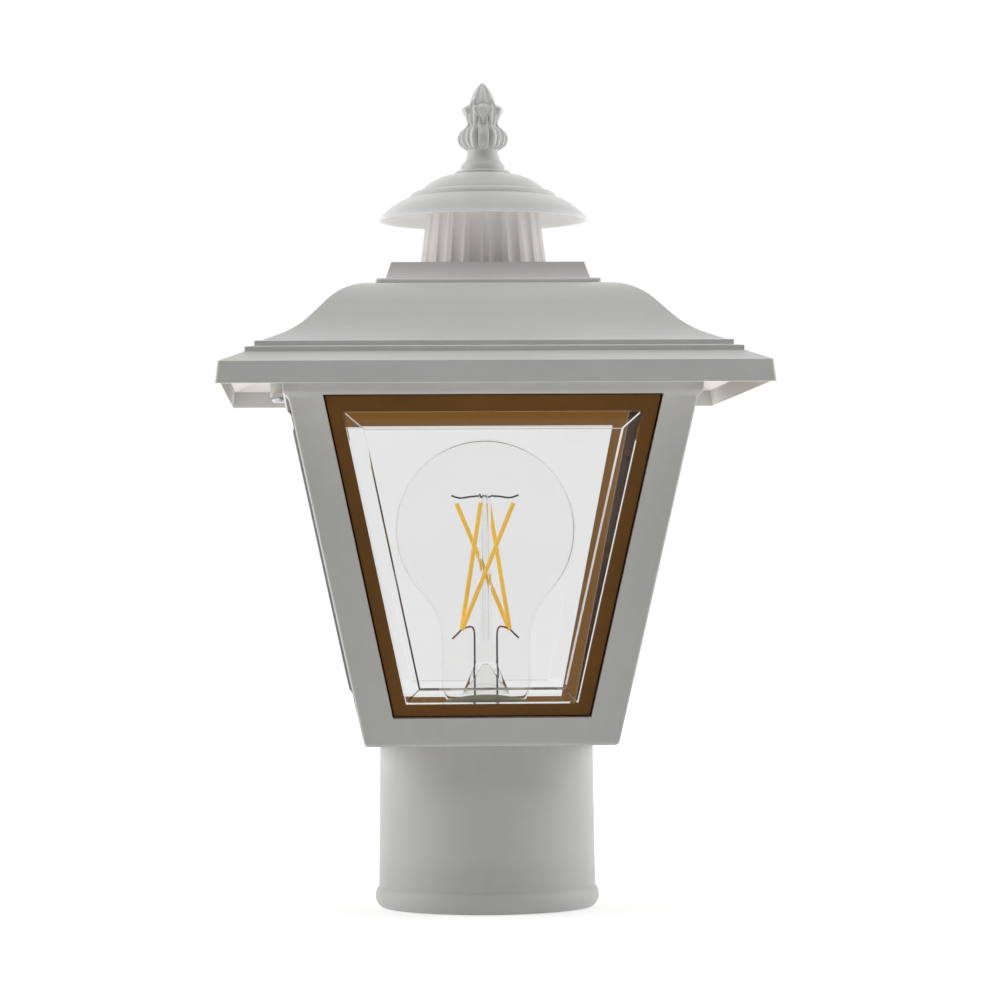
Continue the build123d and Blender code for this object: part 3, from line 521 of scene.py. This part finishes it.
class LANTERN_OT_housing(bpy.types.Operator):
    """Moulded finish of the fitter and the cage"""

    bl_idname = "lantern.housing"
    bl_label = "Fitter and cage"

    def execute(self, context):
        finish = context.scene.lantern_finish
        cage = moulded("cage plastic", finish.plastic, finish.plastic_roughness, finish.grain_size)
        matte = finish.plastic_roughness + 0.05
        fitter = moulded("fitter plastic", finish.fitter, matte, finish.grain_size)
        self.line_inside(cage, finish.trim, finish.trim_edge_shade)
        dress(cage, "lantern_cage")
        dress(fitter, "post_fitter")
        return {"FINISHED"}

    def line_inside(self, cage, colour, jamb_shade):
        """Gives the cage's inside the trim's brown, and paints shade in a darker brown on its faces that
        look straight down, the tops of its windows among them.
        """
        tree = cage.node_tree
        shader = tree.nodes["Principled BSDF"]
        outside = shader.inputs["Base Color"].links[0].from_socket
        inside = add_node(tree, "ShaderNodeGroup", node_tree=inward_group())
        mix = add_node(tree, "ShaderNodeMix", data_type="RGBA")
        mix.inputs["B"].default_value = rgba(colour)
        # Painted shade: faces that look straight down get the dark colour, as the shadow at the tops of the
        # windows.
        flat_down = {"Level": -0.95, "Down": -0.99}
        below = add_node(tree, "ShaderNodeGroup", flat_down, node_tree=underside_group())
        dark = add_node(tree, "ShaderNodeMix", data_type="RGBA")
        dark.inputs["B"].default_value = rgba(jamb_shade)
        join(
            tree,
            (inside.outputs["Mask"], mix.inputs["Factor"]),
            (outside, mix.inputs["A"]),
            (below.outputs["Mask"], dark.inputs["Factor"]),
            (mix.outputs["Result"], dark.inputs["A"]),
            (dark.outputs["Result"], shader.inputs["Base Color"]),
        )


class LANTERN_OT_roof(bpy.types.Operator):
    """Moulded finish of roof, chimney and hood"""

    bl_idname = "lantern.roof"
    bl_label = "Roof, chimney and hood"

    def execute(self, context):
        finish = context.scene.lantern_finish
        # The third value of each row is the painted glow on the part's downward faces, standing in for
        # light from below; the chimney has none.
        for name, colour, through in (
            ("roof_cover", finish.plastic, (0.27, 0.247, 0.232)),
            ("chimney", finish.chimney, None),
            ("hood", finish.hood, (0.12, 0.12, 0.113)),
        ):
            material = moulded(
                f"{name} plastic", colour, finish.plastic_roughness, finish.grain_size, through=through)
            dress(material, name)
        return {"FINISHED"}


class LANTERN_OT_finial(bpy.types.Operator):
    """Finial with carved stalks, curls, leaf tips and a ribbed bud"""

    bl_idname = "lantern.finial"
    bl_label = "Finial"

    # Heights above the finial's foot with radii or half widths, in mm
    core = (
        (0, 8.0), (0.7, 8.35), (1.9, 8.3), (2.8, 7.75), (3.6, 7.0), (5.4, 6.25), (7.8, 5.8), (10, 6.4),
        (12.2, 7.0), (15, 6.4), (17.5, 5.2), (19.8, 4.8), (22, 4.6), (25.3, 5.0), (27.4, 4.35),
        (29.2, 3.6), (31, 2.6), (32.5, 1.5), (33.5, 0.6), (33.8, 0.15),
    )
    stalk = (
        (7.7, 5.8), (8.8, 7.6), (10.2, 9.2), (12.3, 9.75), (14.6, 8.9), (16.1, 7.4), (17.5, 6.1), (19, 5.8),
        (20.5, 6.0), (23, 4.8),
    )
    stalk_half = ((7.7, 0.3), (8.6, 1.2), (10.5, 1.55), (19.5, 1.5), (22.8, 1.3))
    curl = (
        (7.9, 5.8), (8.8, 7.6), (10.2, 8.9), (12.3, 9.45), (14.6, 8.9), (15.9, 8.0), (16.5, 6.6),
        (16.8, 5.2),
    )
    curl_half = ((7.9, 1.2), (9.5, 2.2), (12.3, 2.7), (14.8, 2.5), (16.2, 2.0), (16.8, 1.5))
    tip = ((17.5, 5.4), (20.4, 6.3), (21.9, 7.2), (23.4, 7.75), (24.3, 7.2), (25.0, 6.0), (25.5, 4.9))
    tip_half = ((17.5, 1.2), (20.4, 1.5), (22.6, 2.5), (24.2, 2.3), (25.0, 1.6), (25.5, 0.5))
    blade = ((17.0, 5.2), (19, 5.9), (22, 6.1), (25.0, 6.1), (27.2, 5.0))
    blade_half = ((17.0, 1.0), (20, 1.5), (23.5, 1.3), (27.2, 0.25))
    bud_foot = 25.8
    ribs, rib_depth = 8, 0.22
    bore_r, bore_depth = 2.05, 18.0
    turns, rows = 288, 270

    def execute(self, context):
        finish = context.scene.lantern_finish
        foot = min((NODES["finial"].matrix_world @ v.co).z for v in NODES["finial"].data.vertices)
        piece = self.carve(foot)
        piece.data.materials.append(
            moulded("finial plastic", finish.finial, finish.plastic_roughness, finish.grain_size))
        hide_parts("finial")
        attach(piece, "finial")
        return {"FINISHED"}

    def relief(self, angle, z, r, outer, half, count, start, ridge):
        """Radius of a leaf that repeats round the axis, or the core's where there is none."""
        if not outer[0][0] <= z <= outer[-1][0]:
            return r
        step = 2 * math.pi / count
        off = (angle - start + step / 2) % step - step / 2
        edge = curve_at(half, z)
        across = abs(off) * r / edge
        if across >= 1.25:
            return r
        top = curve_at(outer, z) + ridge(across)
        flank = min(1.0, max(0.0, (1.25 - across) / 0.35))
        return max(r, r + (top - r) * flank * flank * (3 - 2 * flank))

    def radius(self, angle, z):
        """Radius of the carved surface."""
        r = curve_at(self.core, z)
        if z > self.bud_foot:
            fade = min(1.0, (z - self.bud_foot) / 1.5) * min(1.0, r / 2)
            r += self.rib_depth * math.cos(self.ribs * angle) * fade
        return max(
            self.relief(angle, z, r, self.stalk, self.stalk_half, 4, 0.0, lambda u: -0.5 * mound(u, 0.6)),
            self.relief(angle, z, r, self.curl, self.curl_half, 4, math.pi / 4,
                        lambda u: -1.1 * mound(u, 0.72) + 0.7 * mound(u, 0.3)),
            self.relief(angle, z, r, self.blade, self.blade_half, 4, math.pi / 4,
                        lambda u: -0.6 * mound(u, 0.5)),
            self.relief(angle, z, r, self.tip, self.tip_half, 4, 0.0,
                        lambda u: 0.25 * peak(u, 0.25) - 0.35 * peak(u - 0.6, 0.25)),
        )

    def carve(self, foot):
        """The finial's mesh: its carved outside, its foot and the bore for the rod."""
        grid = bmesh.new()
        angles = [2 * math.pi * turn / self.turns for turn in range(self.turns)]

        def ring(z, radius):
            places = [(radius(angle, z) * MM, angle) for angle in angles]
            return [grid.verts.new((r * math.cos(angle), r * math.sin(angle), foot + z * MM))
                    for r, angle in places]

        def band(low, high, smooth):
            for a in range(self.turns):
                grid.faces.new((low[a], low[a - 1], high[a - 1], high[a])).smooth = smooth

        height = self.core[-1][0]
        rings = [ring(height * row / self.rows, self.radius) for row in range(self.rows + 1)]
        bore = [ring(z, lambda a, z: self.bore_r) for z in (0.0, self.bore_depth)]
        for low, high in zip(rings, rings[1:]):
            band(low, high, True)
        band(bore[0], rings[0], False)
        band(bore[1], bore[0], False)
        grid.faces.new(rings[-1])
        grid.faces.new(bore[1])
        bmesh.ops.recalc_face_normals(grid, faces=grid.faces)
        mesh = bpy.data.meshes.new("carved_finial")
        grid.to_mesh(mesh)
        grid.free()
        piece = bpy.data.objects.new("carved_finial", mesh)
        bpy.context.collection.objects.link(piece)
        return piece


class LANTERN_OT_panels(bpy.types.Operator):
    """Clear panels and their bronze-brown bands"""

    bl_idname = "lantern.panels"
    bl_label = "Panels and trim"

    def execute(self, context):
        finish = context.scene.lantern_finish
        acrylic = clear("clear acrylic", (0.885, 0.887, 0.887), 1.45, 60.0)
        sides = ("front", "right", "back", "left")
        dress(acrylic, *(f"lens_{side}" for side in sides))
        band, tree, shader = new_material("bronze trim")
        shader.inputs["Specular IOR Level"].default_value = 0.12
        shader.inputs["Emission Strength"].default_value = 1.0
        surface = place_moulded(tree, finish.trim, 0.5 * MM, 0.16, 0.30)
        # Painted shade: the bands' slanting bevel faces take the dark edge colour.
        edge = add_node(tree, "ShaderNodeGroup", node_tree=slant_group())
        colour = add_node(tree, "ShaderNodeMix", data_type="RGBA")
        colour.inputs["B"].default_value = rgba(finish.trim_edge_shade)
        # Painted light: the bands' faces that look towards the axis glow brown, standing in for light from
        # behind the lantern.
        lit = add_node(tree, "ShaderNodeVectorMath", {0: (0.17, 0.078, 0.010)}, operation="SCALE")
        inside = add_node(tree, "ShaderNodeGroup", node_tree=inward_group())
        join(
            tree,
            (edge.outputs["Mask"], colour.inputs["Factor"]),
            (inside.outputs["Mask"], lit.inputs["Scale"]),
            (lit.outputs[0], shader.inputs["Emission Color"]),
            (surface.outputs["Color"], colour.inputs["A"]),
            (colour.outputs["Result"], shader.inputs["Base Color"]),
            (surface.outputs["Roughness"], shader.inputs["Roughness"]),
        )
        add_bump(tree, shader, surface.outputs["Height"], 0.006 * MM)
        dress(band, *(f"lens_trim_{side}" for side in sides))
        return {"FINISHED"}


class LANTERN_OT_lamp(bpy.types.Operator):
    """Clear filament lamp"""

    bl_idname = "lantern.lamp"
    bl_label = "Lamp"

    # Colours of the wires along their height, from the leads' foot to the support wires
    wires_foot, wires_top = 0.082, 0.155
    wire = (
        (0.0, (0.10, 0.085, 0.08, 1)), (0.28, (0.12, 0.09, 0.08, 1)), (0.34, (0.42, 0.13, 0.09, 1)),
        (0.5, (0.42, 0.14, 0.10, 1)), (0.55, (0.10, 0.10, 0.12, 1)), (1.0, (0.10, 0.10, 0.12, 1)),
    )

    def execute(self, context):
        finish = context.scene.lantern_finish
        dress(clear("lamp glass", (0.99, 0.99, 0.988), 1.008, 90.0, coat=0.04), "lamp_glass")
        dress(clear("stem glass", (0.97, 0.975, 0.97), 1.07, 90.0, coat=0.2), "lamp_stem")
        dress(self.coat_rods(finish.filament), "lamp_filaments")
        dress(self.colour_wires(), "lamp_wires")
        dress(moulded("collar plastic", (0.25, 0.24, 0.14), 0.6, 0.6 * MM), "lamp_collar")
        dress(plated("screw base nickel", (0.62, 0.60, 0.56), (0.35, 0.32, 0.28), 0.25), "lamp_screw_base")
        dress(moulded("base insulator", (0.012, 0.012, 0.014), 0.15, 0.8 * MM), "lamp_insulator")
        dress(plated("contact solder", (0.5, 0.5, 0.5), (0.3, 0.3, 0.3), 0.4), "lamp_contact")
        return {"FINISHED"}

    def coat_rods(self, colour):
        """The filaments' coating, with a painted glow that makes it look lit from within."""
        rods, tree, shader = new_material("filament coating")
        surface = place_moulded(tree, colour, 0.35 * MM, 0.12, 0.6)
        shader.inputs["Emission Strength"].default_value = 0.4
        join(
            tree,
            (surface.outputs["Color"], shader.inputs["Base Color"]),
            (surface.outputs["Color"], shader.inputs["Emission Color"]),
            (surface.outputs["Roughness"], shader.inputs["Roughness"]),
        )
        add_bump(tree, shader, surface.outputs["Height"], 0.03 * MM)
        return rods

    def colour_wires(self):
        """The lead and support wires' material, reddish along the leads above the pinch."""
        wire, tree, shader = new_material("lead wire")
        shader.inputs["Metallic"].default_value = 0.6
        shader.inputs["Roughness"].default_value = 0.35
        place = add_node(tree, "ShaderNodeNewGeometry")
        height = add_node(tree, "ShaderNodeSeparateXYZ")
        span = map_range(tree, self.wires_foot, self.wires_top, 0.0, 1.0)
        change = add_node(tree, "ShaderNodeValToRGB")
        stops = change.color_ramp.elements
        for stop, (spot, colour) in zip((stops[0], stops[1]), (self.wire[0], self.wire[-1])):
            stop.position, stop.color = spot, colour
        for spot, colour in self.wire[1:-1]:
            stops.new(spot).color = colour
        join(
            tree,
            (place.outputs["Position"], height.inputs[0]),
            (height.outputs["Z"], span.inputs["Value"]),
            (span.outputs[0], change.inputs["Fac"]),
            (change.outputs["Color"], shader.inputs["Base Color"]),
        )
        return wire


class LANTERN_OT_lampholder(bpy.types.Operator):
    """Porcelain lampholder on its steel strap"""

    bl_idname = "lantern.lampholder"
    bl_label = "Lampholder"

    def execute(self, context):
        dress(moulded("porcelain", (0.72, 0.70, 0.63), 0.12, 1.6 * MM, mottle=0.03), "socket_body")
        brass = plated("shell brass", (0.60, 0.42, 0.16), (0.30, 0.18, 0.07), 0.25)
        dress(brass, "socket_shell", "socket_contact")
        dress(plated("strap steel", (0.48, 0.49, 0.51), (0.30, 0.30, 0.30), 0.34), "socket_bracket")
        return {"FINISHED"}


class LANTERN_OT_fixings(bpy.types.Operator):
    """Screws, rod, nut and washer"""

    bl_idname = "lantern.fixings"
    bl_label = "Fixings"

    def execute(self, context):
        zinc = plated("zinc plating", (0.52, 0.53, 0.56), (0.36, 0.35, 0.30), 0.3)
        dress(
            zinc, "fitter_screws", "bracket_screws", "socket_screws", "roof_screws", "finial_rod",
            "rod_nut", "rod_washer")
        stainless = plated("stainless steel", (0.56, 0.56, 0.55), (0.40, 0.40, 0.38), 0.25)
        dress(stainless, "clamp_screw_left", "clamp_screw_right")
        dress(moulded("green screw lacquer", (0.02, 0.20, 0.05), 0.25, 0.8 * MM), "ground_screw")
        return {"FINISHED"}


class LANTERN_OT_stage(bpy.types.Operator):
    """Floor, backdrop, lamps, world and camera"""

    bl_idname = "lantern.stage"
    bl_label = "Stage and camera"

    # Name, place, width and watts of each softbox, and the point that they all face
    softboxes = (
        ("left softbox", (-1.3, 0.10, 0.65), 1.1, 7.5),
        ("right softbox", (1.3, 0.10, 0.65), 1.1, 7.5),
        ("top softbox", (0.0, -0.35, 1.7), 1.4, 8.5),
        ("front fill", (-0.3, -2.2, 0.9), 1.4, 0.6),
        ("back softbox", (0.0, 1.5, 1.25), 1.4, 2.8),
    )
    aim = Vector((0, 0, 0.15))

    def execute(self, context):
        stage = context.scene.lantern_stage
        self.make_floor(stage.floor)
        self.make_world(context.scene)
        self.make_lights()
        self.make_camera(context.scene, stage)
        context.scene.view_settings.view_transform = "Standard"
        return {"FINISHED"}

    def make_floor(self, width):
        """Floor that looks white, keeps the shadow and sends light up mostly from behind the lantern."""
        half, level = width / 2, -0.2 * MM
        mesh = bpy.data.meshes.new("floor")
        corners = [(-half, -half, level), (half, -half, level), (half, half, level), (-half, half, level)]
        mesh.from_pydata(corners, [], [(0, 1, 2, 3)])
        floor = bpy.data.objects.new("floor", mesh)
        bpy.context.collection.objects.link(floor)
        material, tree, shader = new_material("studio floor")
        shader.inputs["Roughness"].default_value = 0.9
        shader.inputs["Specular IOR Level"].default_value = 0.1
        shader.inputs["Emission Color"].default_value = (1, 1, 1, 1)
        place = add_node(tree, "ShaderNodeTexCoord")
        reach = add_node(tree, "ShaderNodeVectorMath", operation="LENGTH")
        glow = map_range(tree, 0.1, 0.7, 0.5, 1.0)
        where = add_node(tree, "ShaderNodeSeparateXYZ")
        upward = map_range(tree, -0.25, 0.2, 0.03, 1.3)
        near = map_range(tree, 0.05, 0.4, 0.2, 1.0)
        dimmed = add_node(tree, "ShaderNodeMath", operation="MULTIPLY")
        strength = add_node(tree, "ShaderNodeMapRange")
        rays = add_node(tree, "ShaderNodeLightPath")
        pale = add_node(tree, "ShaderNodeMix", data_type="RGBA")
        pale.inputs["A"].default_value = (0.86, 0.86, 0.86, 1)
        pale.inputs["B"].default_value = (0.06, 0.06, 0.06, 1)
        join(
            tree,
            (rays.outputs["Is Transmission Ray"], pale.inputs["Factor"]),
            (pale.outputs["Result"], shader.inputs["Base Color"]),
            (place.outputs["Object"], reach.inputs[0]),
            (reach.outputs["Value"], glow.inputs["Value"]),
            (place.outputs["Object"], where.inputs[0]),
            (where.outputs["Y"], upward.inputs["Value"]),
            (white_rays(tree), strength.inputs["Value"]),
            (reach.outputs["Value"], near.inputs["Value"]),
            (upward.outputs[0], dimmed.inputs[0]),
            (near.outputs[0], dimmed.inputs[1]),
            (dimmed.outputs[0], strength.inputs["To Min"]),
            (glow.outputs[0], strength.inputs["To Max"]),
            (strength.outputs[0], shader.inputs["Emission Strength"]),
        )
        mesh.materials.append(material)

    def make_world(self, scene):
        """World that looks white and lights the lantern softly, mostly from behind."""
        world = bpy.data.worlds.new("studio")
        scene.world = world
        world.use_nodes = True
        tree = world.node_tree
        tree.nodes.clear()
        place = add_node(tree, "ShaderNodeTexCoord")
        where = add_node(tree, "ShaderNodeSeparateXYZ")
        behind = map_range(tree, -0.5, 0.5, 0.03, 0.44)
        soft = add_node(tree, "ShaderNodeBackground", {"Color": (1, 1, 1, 1)})
        white = add_node(tree, "ShaderNodeBackground", {"Color": (1, 1, 1, 1), "Strength": 1.0})
        mix = add_node(tree, "ShaderNodeMixShader")
        output = add_node(tree, "ShaderNodeOutputWorld")
        join(
            tree,
            (place.outputs["Generated"], where.inputs[0]),
            (where.outputs["Y"], behind.inputs["Value"]),
            (behind.outputs[0], soft.inputs["Strength"]),
            (white_rays(tree), mix.inputs["Fac"]),
            (soft.outputs[0], mix.inputs[1]),
            (white.outputs[0], mix.inputs[2]),
            (mix.outputs[0], output.inputs["Surface"]),
        )

    def make_lights(self):
        """Square area lights that face the lantern, unseen by the camera and through glass."""
        for name, place, size, power in self.softboxes:
            light = bpy.data.lights.new(name, "AREA")
            light.shape = "SQUARE"
            light.size = size
            light.energy = power
            lamp = bpy.data.objects.new(name, light)
            bpy.context.collection.objects.link(lamp)
            lamp.location = place
            lamp.visible_camera = False
            lamp.visible_transmission = False
            lamp.rotation_euler = (self.aim - Vector(place)).to_track_quat("-Z", "Y").to_euler()

    def make_camera(self, scene, stage):
        """Camera at the photograph's place."""
        camera = bpy.data.cameras.new("camera")
        camera.sensor_width = 36
        camera.lens = stage.focal
        camera.shift_x, camera.shift_y = stage.shift
        eye = bpy.data.objects.new("camera", camera)
        bpy.context.collection.objects.link(eye)
        eye.location = (
            stage.distance * math.sin(stage.azimuth),
            -stage.distance * math.cos(stage.azimuth),
            stage.height,
        )
        eye.rotation_euler = (math.radians(90), 0, stage.azimuth)
        eye.rotation_euler.rotate_axis("Z", stage.roll)
        scene.camera = eye


class LANTERN_PT_panel(bpy.types.Panel):
    """Lists the lantern's operators"""

    bl_label = "Lantern"
    bl_space_type = "VIEW_3D"
    bl_region_type = "UI"
    bl_category = "Lantern"

    def draw(self, context):
        for operator in OPERATORS:
            self.layout.operator(operator.bl_idname)


OPERATORS = (
    LANTERN_OT_housing,
    LANTERN_OT_roof,
    LANTERN_OT_finial,
    LANTERN_OT_panels,
    LANTERN_OT_lamp,
    LANTERN_OT_lampholder,
    LANTERN_OT_fixings,
    LANTERN_OT_stage,
)
CLASSES = (LanternFinish, LanternStage, *OPERATORS, LANTERN_PT_panel)


def register():
    for item in CLASSES:
        bpy.utils.register_class(item)
    bpy.types.Scene.lantern_finish = bpy.props.PointerProperty(type=LanternFinish)
    bpy.types.Scene.lantern_stage = bpy.props.PointerProperty(type=LanternStage)


def unregister():
    del bpy.types.Scene.lantern_stage
    del bpy.types.Scene.lantern_finish
    for item in reversed(CLASSES):
        bpy.utils.unregister_class(item)


def main():
    register()
    bpy.ops.lantern.housing()
    bpy.ops.lantern.roof()
    bpy.ops.lantern.finial()
    bpy.ops.lantern.panels()
    bpy.ops.lantern.lamp()
    bpy.ops.lantern.lampholder()
    bpy.ops.lantern.fixings()
    bpy.ops.lantern.stage()


if __name__ == "__main__":
    main()
